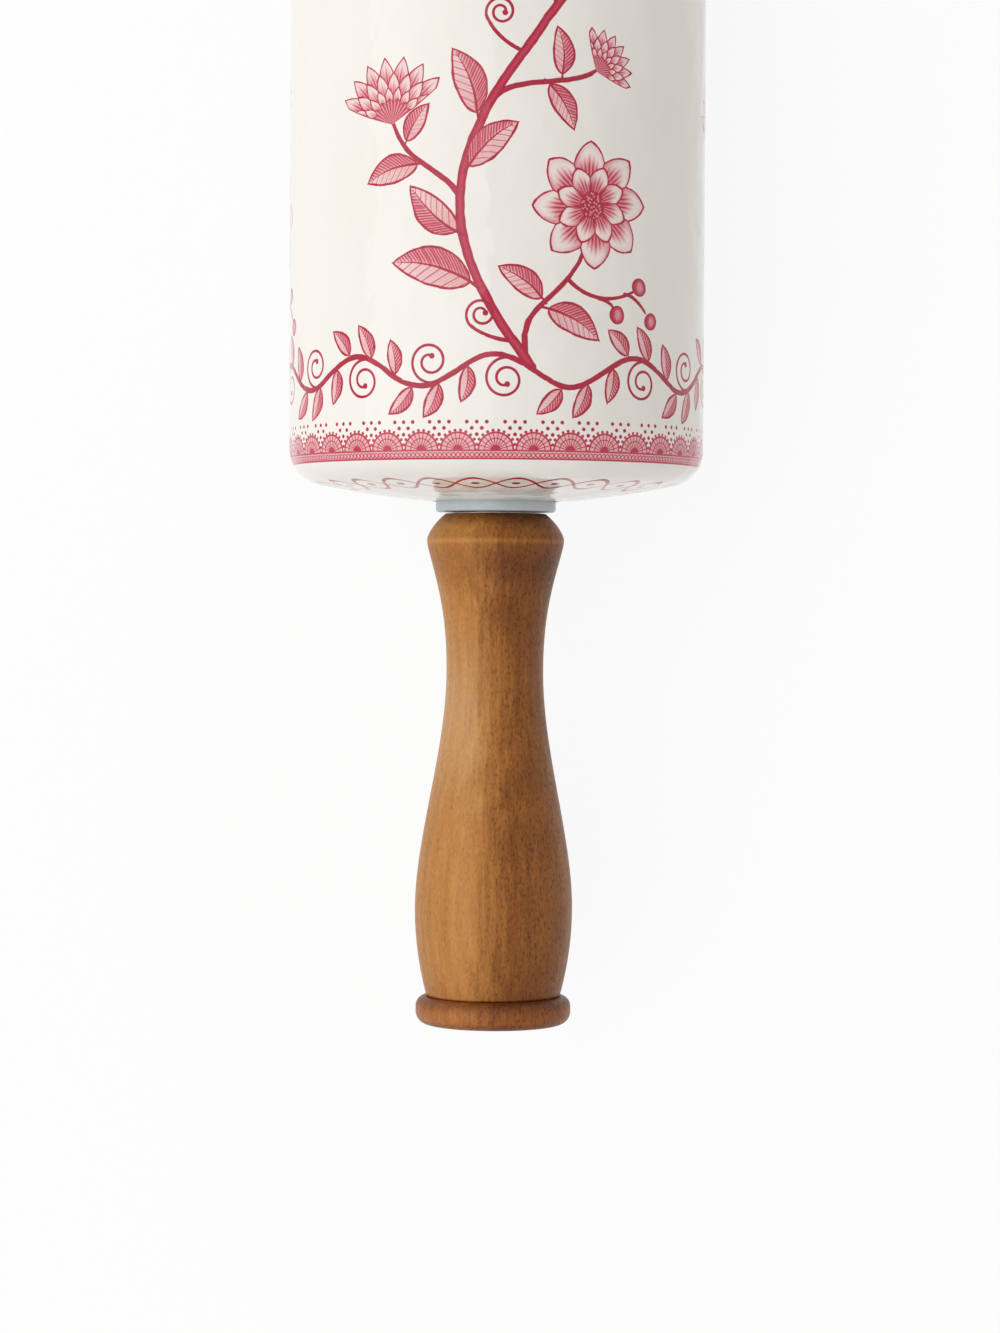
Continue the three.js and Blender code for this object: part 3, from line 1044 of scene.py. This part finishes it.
def bakeMap(piece):  # round the barrel by along its profile, the hidden inside in a narrow strip
    mesh = piece.data
    cornerAt, faceAt, faceOf, radius = unrolled(mesh)
    outside = np.zeros(len(mesh.polygons), bool)
    for face in mesh.polygons:
        away = face.center - Vector((0, 0, axisHeight))
        tilt = math.hypot(face.normal.y, face.normal.z)
        onSide = tilt > 0.5 and face.normal.yz.dot(away.yz) > 0
        onEnd = abs(face.center.x) > bakeStrips["endFrom"] * mm and face.normal.x * face.center.x > 0
        outside[face.index] = onSide or onEnd
    reach = cornerAt[:, 1] + np.sign(cornerAt[:, 1]) * np.maximum(barrelRadius - radius, 0)
    along = (reach / np.abs(reach).max() + 1) / 2
    turn = (cornerAt[:, 0] / around) % 1.0
    faceTurn = (faceAt[:, 0] / around) % 1.0
    turn += np.round(faceTurn[faceOf] - turn)

    def strip(name, share):
        low, high = bakeStrips[name]
        return low + (high - low) * share

    up = np.where(outside[faceOf], strip("outside", along), strip("inside", along))
    layer = mesh.uv_layers.new(name="OFBake")
    layer.data.foreach_set("uv", np.column_stack((strip("round", turn), up)).astype(np.float32).ravel())


barrelPiece = turnProfile("barrel_glazed", barrelProfile(), barrel["steps"], True, barrel["cells"])
smoothShade(barrelPiece, barrel["smoothAngle"])
printBarrel(barrelPiece)
bakeMap(barrelPiece)
dress(barrelPiece, "roller", glazeMaterial(), "barrel")
print("barrel turned:", len(barrelPiece.data.polygons), "faces")


# Bushing: moulded flange on a ribbed spigot, one in each end of the barrel.

bushing = {
    "flangeRadius": 10.15,
    "flangeAt": 130.15,
    "flangeThick": 2.2,
    "edge": 0.4,
    "spigotRadius": 7.5,
    "spigotLength": 12.0,
    "lead": 1.0,
    "bore": 4.6,
    "ribs": 8,
    "ribFaces": 3,
    "ribHeight": 0.45,
    "steps": 96,
    "smoothAngle": 35,
    "colour": [(0.3, (0.44, 0.50, 0.535)), (0.7, (0.53, 0.585, 0.62))],
    "roughness": 0.26,
}


def bushingProfile():
    size = bushing
    face = size["flangeAt"] + size["flangeThick"]
    tip = size["flangeAt"] - size["spigotLength"]
    edge, rim = size["edge"], size["flangeRadius"]
    outline = [(face, size["bore"])]
    outline += arcRun((face - edge, rim - edge), edge, 0, 90, 5)
    outline += arcRun((size["flangeAt"] + edge, rim - edge), edge, 90, 180, 5)
    outline += [
        (size["flangeAt"], size["spigotRadius"]),
        (tip + size["lead"], size["spigotRadius"]),
        (tip, size["spigotRadius"] - size["lead"] / 2),
        (tip, size["bore"]),
    ]
    return [(-x, r) for x, r in outline]


def raiseRibs(piece):  # the crush ribs along the spigot
    faceAngle = math.tau / bushing["steps"]
    apart = bushing["steps"] // bushing["ribs"]
    pickOnly(piece)
    bpy.ops.object.mode_set(mode="EDIT")
    bpy.ops.mesh.select_all(action="DESELECT")
    bpy.ops.object.mode_set(mode="OBJECT")
    for face in piece.data.polygons:
        away = face.center - Vector((face.center.x, 0, axisHeight))
        onSpigot = abs(away.length / mm - bushing["spigotRadius"]) < 0.05 and abs(face.normal.x) < 0.1
        step = round(math.atan2(away.y, away.z) / faceAngle - 0.5)
        face.select = onSpigot and face.normal.dot(away) > 0 and step % apart < bushing["ribFaces"]
    bpy.ops.object.mode_set(mode="EDIT")
    bpy.ops.mesh.select_mode(type="FACE")
    height = {"value": bushing["ribHeight"] * mm}
    bpy.ops.mesh.extrude_region_shrink_fatten(TRANSFORM_OT_shrink_fatten=height)
    bpy.ops.mesh.select_mode(type="VERT")
    bpy.ops.object.mode_set(mode="OBJECT")


def nylonMaterial():
    material, base, at = startMaterial("mouldedNylon")
    cloud = at.noise(0.35, 3.0)
    speck = at.noise(5.0, 2.0)
    colour = base.make("ValToRGB", {"stops": bushing["colour"]}, {0: cloud * 0.75 + speck * 0.25})
    bump = base.make("Bump", None, {"Strength": 0.12, "Distance": 0.02, "Height": speck})
    rough = cloud * 0.14 + bushing["roughness"]
    endMaterial(base, {"Base Color": colour, "Roughness": rough, "Normal": bump})
    return material


bushingPiece = turnProfile("bushing_left_moulded", bushingProfile(), bushing["steps"])
raiseRibs(bushingPiece)
smoothShade(bushingPiece, bushing["smoothAngle"])
dressPair(bushingPiece, "roller", nylonMaterial(), "bushing")
print("bushings moulded:", bushing["ribs"], "ribs each")


# Handle: turned hardwood with a collar, a waist and a belly, stained and satin varnished.

handle = {
    "topRadius": 8.5,
    "collar": (4.7, 11.75),  # mm from the top, radius
    "waist": (26.6, 8.2),
    "belly": (66.8, 13.35),
    "tail": (81.25, 11.45),
    "tailEdge": 0.4,
    "dome": (0.48, 0.83),  # how the collar bulges, as shares of its length and rise
    "neck": (0.35, 0.43),  # pull at the start and end of a curve, as shares of its length
    "neckSlope": 0.28,
    "swell": (0.34, 0.3),
    "tailPull": 0.5,
    "recess": (1.0, 7.4),
    "rodHole": (22.0, 4.7),
    "studHole": 3.2,
    "socket": (15.9, 7.2),
    "steps": 128,
    "smoothAngle": 24,
    "tone": 0.72,  # place on the stain's scale, 0 is darkest
    "shadeDepth": 0.36,  # painted shade: how much darker the side away from the lamp is
    "stain": [
        (0.0, (0.085, 0.024, 0.004)),
        (0.3, (0.215, 0.070, 0.012)),
        (0.6, (0.40, 0.160, 0.032)),
        (1.0, (0.60, 0.31, 0.090)),
    ],
}


def handleProfile():
    size = handle
    length, top = handleEnd - handleStart, size["topRadius"]
    (collarAt, collar), (waistAt, waist) = size["collar"], size["waist"]
    (bellyAt, belly), (tailAt, tail) = size["belly"], size["tail"]
    neck, swell, fall = waistAt - collarAt, bellyAt - waistAt, tailAt - bellyAt
    run = [(size["recess"][0], size["rodHole"][1]), size["recess"], (0, size["recess"][1])]
    bulge = (size["dome"][0] * collarAt, top + size["dome"][1] * (collar - top))
    dome = curveRun([(0, top), bulge, (collarAt, collar)], 14)
    pull = size["neck"][0] * neck
    leave = (collarAt + pull, collar - size["neckSlope"] * pull)
    arrive = (waistAt - size["neck"][1] * neck, waist)
    fallAway = curveRun([(collarAt, collar), leave, arrive, (waistAt, waist)], 26)
    run += dome[:-2] + curveRun([dome[-3], (collarAt, collar), fallAway[2]], 8)[1:] + fallAway[3:]
    leave = (waistAt + size["swell"][0] * swell, waist)
    arrive = (bellyAt - size["swell"][1] * swell, belly)
    run += curveRun([(waistAt, waist), leave, arrive, (bellyAt, belly)], 36)[1:]
    leave = (bellyAt + size["tailPull"] * fall, belly)
    run += curveRun([(bellyAt, belly), leave, (tailAt, tail)], 14)[1:]
    run += arcRun((length - size["tailEdge"], tail - size["tailEdge"]), size["tailEdge"], 90, 0, 4)[1:]
    run += [
        (length, size["socket"][1]),
        (length - size["socket"][0], size["socket"][1]),
        (length - size["socket"][0], size["studHole"]),
        (size["rodHole"][0], size["studHole"]),
        size["rodHole"],
    ]
    return [(-(handleStart + s), r) for s, r in run]


wood = {
    "ringGap": 2.2,
    "pith": (9.0, -17.0),  # the tree's middle, mm off the handle's axis
    "paintedShade": (5.5, -3.9),  # painted shade: mm across the grain, where the darker side away from the lamp starts and where it is full
    "neck": (14, 7, 0.08),  # mm down the handle, half width, how much deeper the painted shade is there
    "paintedSheen": (34, 10, 0.2),  # painted sheen: mm down the handle, half width, share of the paler colour
    "sheenSide": (0.0, 5.2),  # mm from the axis, on the lamp's side
    "sheenColour": (0.75, 0.55, 0.33, 1),
    "streak": 0.3,  # how far each of these moves the tone
    "blotch": 0.3,
    "rings": 0.025,
    "fine": 0.34,
    "fleck": (0.085, 0.09),  # the second is what the painted shade adds on the side away from the lamp
    "roughness": 0.38,
    "shine": 0.2,
}


def woodMaterial(name, look, edges):
    material, base, at = startMaterial(name)
    x, y, z = at.parts()
    slow = at.noise(0.09, 2.0, 0.5, (0.3, 1, 1))
    ring = (y - wood["pith"][0]).span(z - wood["pith"][1]) + slow * 4
    lateWood = (ring * (math.tau / wood["ringGap"])).sine()
    streak = at.noise(1.0, 3.0, 0.6, (0.035, 1.1, 1.1))
    fine = at.noise(1.0, 2.0, 0.6, (1.3, 3.2, 3.2))
    blotch = at.noise(0.11, 2.0, 0.5, (0.4, 1, 1))
    fleck = at.noise(1.0, 1.5, 0.5, (1.3, 2.5, 2.5)).rise(0.53, 0.67)
    across = y + (streak - 0.5) * 6
    # painted shade: the side away from the lamp is darker, with a wavy edge, and deeper at the neck
    paintedShade = across.rise(*wood["paintedShade"])
    down = abs(x) - handleStart
    neckAt, neckHalf, darker = wood["neck"]
    depth = (down - neckAt).stroke(neckHalf, neckHalf) * darker + look["shadeDepth"]
    value = look["tone"] - paintedShade * depth
    value = value + (streak - 0.5) * wood["streak"] + (blotch - 0.5) * wood["blotch"]
    value = value - lateWood * wood["rings"] + (fine - 0.5) * wood["fine"]
    value = value - fleck * (paintedShade * wood["fleck"][1] + wood["fleck"][0])
    # bands listed in edges: painted shade, painted highlight and pooled stain, as noted with each
    for place, width, change in edges:
        value = value + (abs(x) - place).stroke(width, width) * change
    colour = base.make("ValToRGB", {"stops": look["stain"]}, {0: value.clamped()})
    # painted sheen: a paler band on the lamp's side of the belly
    sheenAt, sheenHalf, share = wood["paintedSheen"]
    paintedSheen = (down - sheenAt).stroke(sheenHalf, sheenHalf) * across.rise(*wood["sheenSide"]) * share
    colour = base.make("Mix", {"data_type": "RGBA"}, {0: paintedSheen, 6: colour, 7: wood["sheenColour"]}, 2)
    height = fine * 0.4 + streak * 0.4 - fleck * 0.6
    bump = base.make("Bump", None, {"Strength": 0.14, "Distance": 0.03, "Height": height})
    rough = wood["roughness"] + (fine - 0.5) * 0.14 + fleck * 0.1
    sockets = {"Base Color": colour, "Roughness": rough, "Normal": bump}
    sockets["Specular IOR Level"] = wood["shine"]
    endMaterial(base, sockets)
    return material


handleEdges = [  # mm from the barrel's middle, half width, change of tone
    (handleStart + handle["collar"][0], 0.35, 0.16),  # lighter along the collar's crease: painted highlight, with wear
    (handleStart + 0.3, 1.2, -0.3),  # painted shade under the flange, with stain pooled there
    (handleStart + 8.5, 3.4, -0.15),  # darker at the head of the neck
    (handleEnd, 5.0, -0.05),  # painted shade towards the end of the tail, beside the bead
    (handleEnd, 0.25, -0.06),  # pooled again in the seam of the end cap
]
handleWood = woodMaterial("stainedHandle", handle, handleEdges)
handlePiece = turnProfile("handle_left_turned", handleProfile(), handle["steps"])
smoothShade(handlePiece, handle["smoothAngle"])
dressPair(handlePiece, "axle", handleWood, "handle")
print("handles turned:", len(handlePiece.data.polygons), "faces each")


# End cap: a wooden bead that plugs the socket in the end of the handle.

cap = {
    "seam": 0.03,  # mm between the handle and the bead
    "beadRadius": 13.15,
    "innerRound": 1.75,
    "outerRound": 2.1,
    "spigotRadius": 7.0,
    "spigotLength": 5.0,
    "chamfer": 0.6,
    "endRing": 0.6,  # the outermost ring of faces on the flat end
    "steps": 128,
    "smoothAngle": 35,
    "tone": 0.52,
    # painted shade: how much darker the side away from the lamp is
    "shadeDepth": 0.17,
    "stain": [
        (0.0, (0.10, 0.024, 0.005)),
        (0.3, (0.245, 0.075, 0.015)),
        (0.6, (0.43, 0.165, 0.038)),
        (1.0, (0.61, 0.31, 0.090)),
    ],
}
capSeat = handleEnd + cap["seam"]


def capProfile():
    size = cap
    bead, inner, outer = size["beadRadius"], size["innerRound"], size["outerRound"]
    tip = capSeat - size["spigotLength"]
    run = [
        (tip, 0),
        (tip, size["spigotRadius"] - size["chamfer"]),
        (tip + size["chamfer"], size["spigotRadius"]),
        (capSeat, size["spigotRadius"]),
    ]
    run += arcRun((capSeat + inner, bead - inner), inner, 180, 90, 8)
    run += arcRun((pinEnd - outer, bead - outer), outer, 90, 0, 8)
    run += [(pinEnd, bead - outer - size["endRing"]), (pinEnd, bead / 2), (pinEnd, 0)]
    return [(-x, r) for x, r in run]


capEdges = [
    (capSeat + 0.3, 1.1, -0.26),  # painted shade on the bead's inner round by the seam, with stain pooled there
    (pinEnd - 0.3, 0.55, -0.24),  # painted shade on the outer edge, turned away from the lamp, with end grain taking stain
]
capWood = woodMaterial("stainedCap", cap, capEdges)
capPiece = turnProfile("end_cap_left_turned", capProfile(), cap["steps"], False)
smoothShade(capPiece, cap["smoothAngle"])
dressPair(capPiece, "axle", capWood, "end_cap")
print("end caps turned")


# Steel inside: rod, washers and lock nuts keep their CAD shapes.

steel = {"colour": [(0.3, (0.50, 0.51, 0.52)), (0.7, (0.66, 0.67, 0.68))], "roughness": 0.26}


def steelMaterial():
    material, base, at = startMaterial("drawnSteel")
    lines = at.noise(1.0, 3.0, 0.6, (0.08, 4.0, 4.0))
    smear = at.noise(0.3, 2.0)
    colour = base.make("ValToRGB", {"stops": steel["colour"]}, {0: lines * 0.6 + smear * 0.4})
    bump = base.make("Bump", None, {"Strength": 0.1, "Distance": 0.02, "Height": lines})
    rough = lines * 0.14 + steel["roughness"]
    endMaterial(base, {"Base Color": colour, "Roughness": rough, "Metallic": 1.0, "Normal": bump})
    return material


drawnSteel = steelMaterial()
for node in frame["nodes"].values():
    if not node.hide_render:
        node.data.materials.clear()
        node.data.materials.append(drawnSteel)
